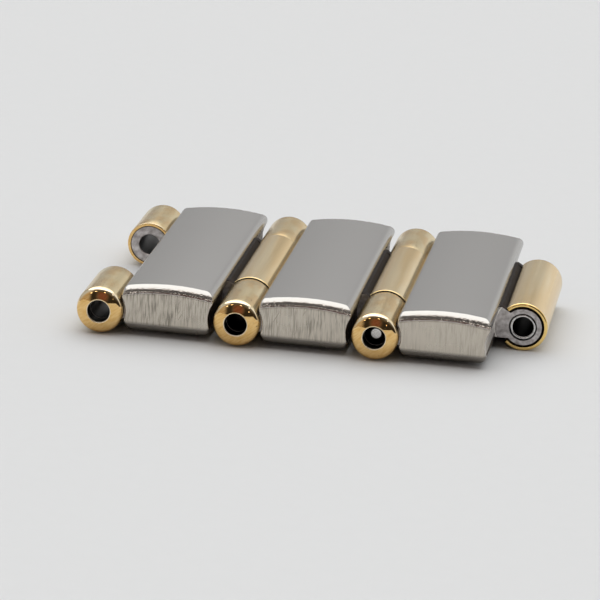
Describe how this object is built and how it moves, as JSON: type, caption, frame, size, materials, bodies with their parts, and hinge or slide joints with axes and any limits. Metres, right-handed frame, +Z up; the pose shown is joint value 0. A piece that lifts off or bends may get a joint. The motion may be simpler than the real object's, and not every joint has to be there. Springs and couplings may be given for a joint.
{
  "type": "watch bracelet link section",
  "caption": "Hinged section of a two-tone watch bracelet: crowned brushed steel links joined by gold barrels, with open lugs at one end and a free knuckle at the other.",
  "frame": {"origin": "under the middle of the section, on the surface that the barrels rest on", "axes": "+X along the bracelet, from the open lugs to the free knuckle; +Y along the hinge axes; +Z up, out of the crowned faces"},
  "size_m": [0.0234, 0.016, 0.0027],
  "materials": {
    "brushed_steel_link": "satin brushed, polished edges",
    "gold_sleeve": "satin brushed gold",
    "gold_cap": "satin gold with a polished end",
    "steel_tube": "drawn",
    "steel_pin": "turned"
  },
  "bodies": {
    "link_1": {"link_1_steel_body": "brushed_steel_link", "link_1_centre_sleeve": "gold_sleeve", "link_1_near_end_cap": "gold_cap", "link_1_far_end_cap": "gold_cap", "link_1_pin_tube": "steel_tube", "hinge_pin_1": "steel_pin"},
    "link_2": {"link_2_steel_body": "brushed_steel_link", "link_2_centre_sleeve": "gold_sleeve", "link_2_near_end_cap": "gold_cap", "link_2_far_end_cap": "gold_cap", "link_2_pin_tube": "steel_tube", "hinge_pin_2": "steel_pin"},
    "link_3": {"link_3_steel_body": "brushed_steel_link", "link_3_centre_sleeve": "gold_sleeve", "link_3_near_end_cap": "gold_cap", "link_3_far_end_cap": "gold_cap", "link_3_pin_tube": "steel_tube"}
  },
  "joints": [
    {"name": "hinge_1", "type": "hinge", "parent": "link_1", "child": "link_2", "pos_m": [-0.00352, 0, 0.00125], "axis": [0, 1, 0], "range_deg": [-82, 110]},
    {"name": "hinge_2", "type": "hinge", "parent": "link_2", "child": "link_3", "pos_m": [0.00347, 0, 0.00125], "axis": [0, 1, 0], "range_deg": [-82, 110]}
  ]
}
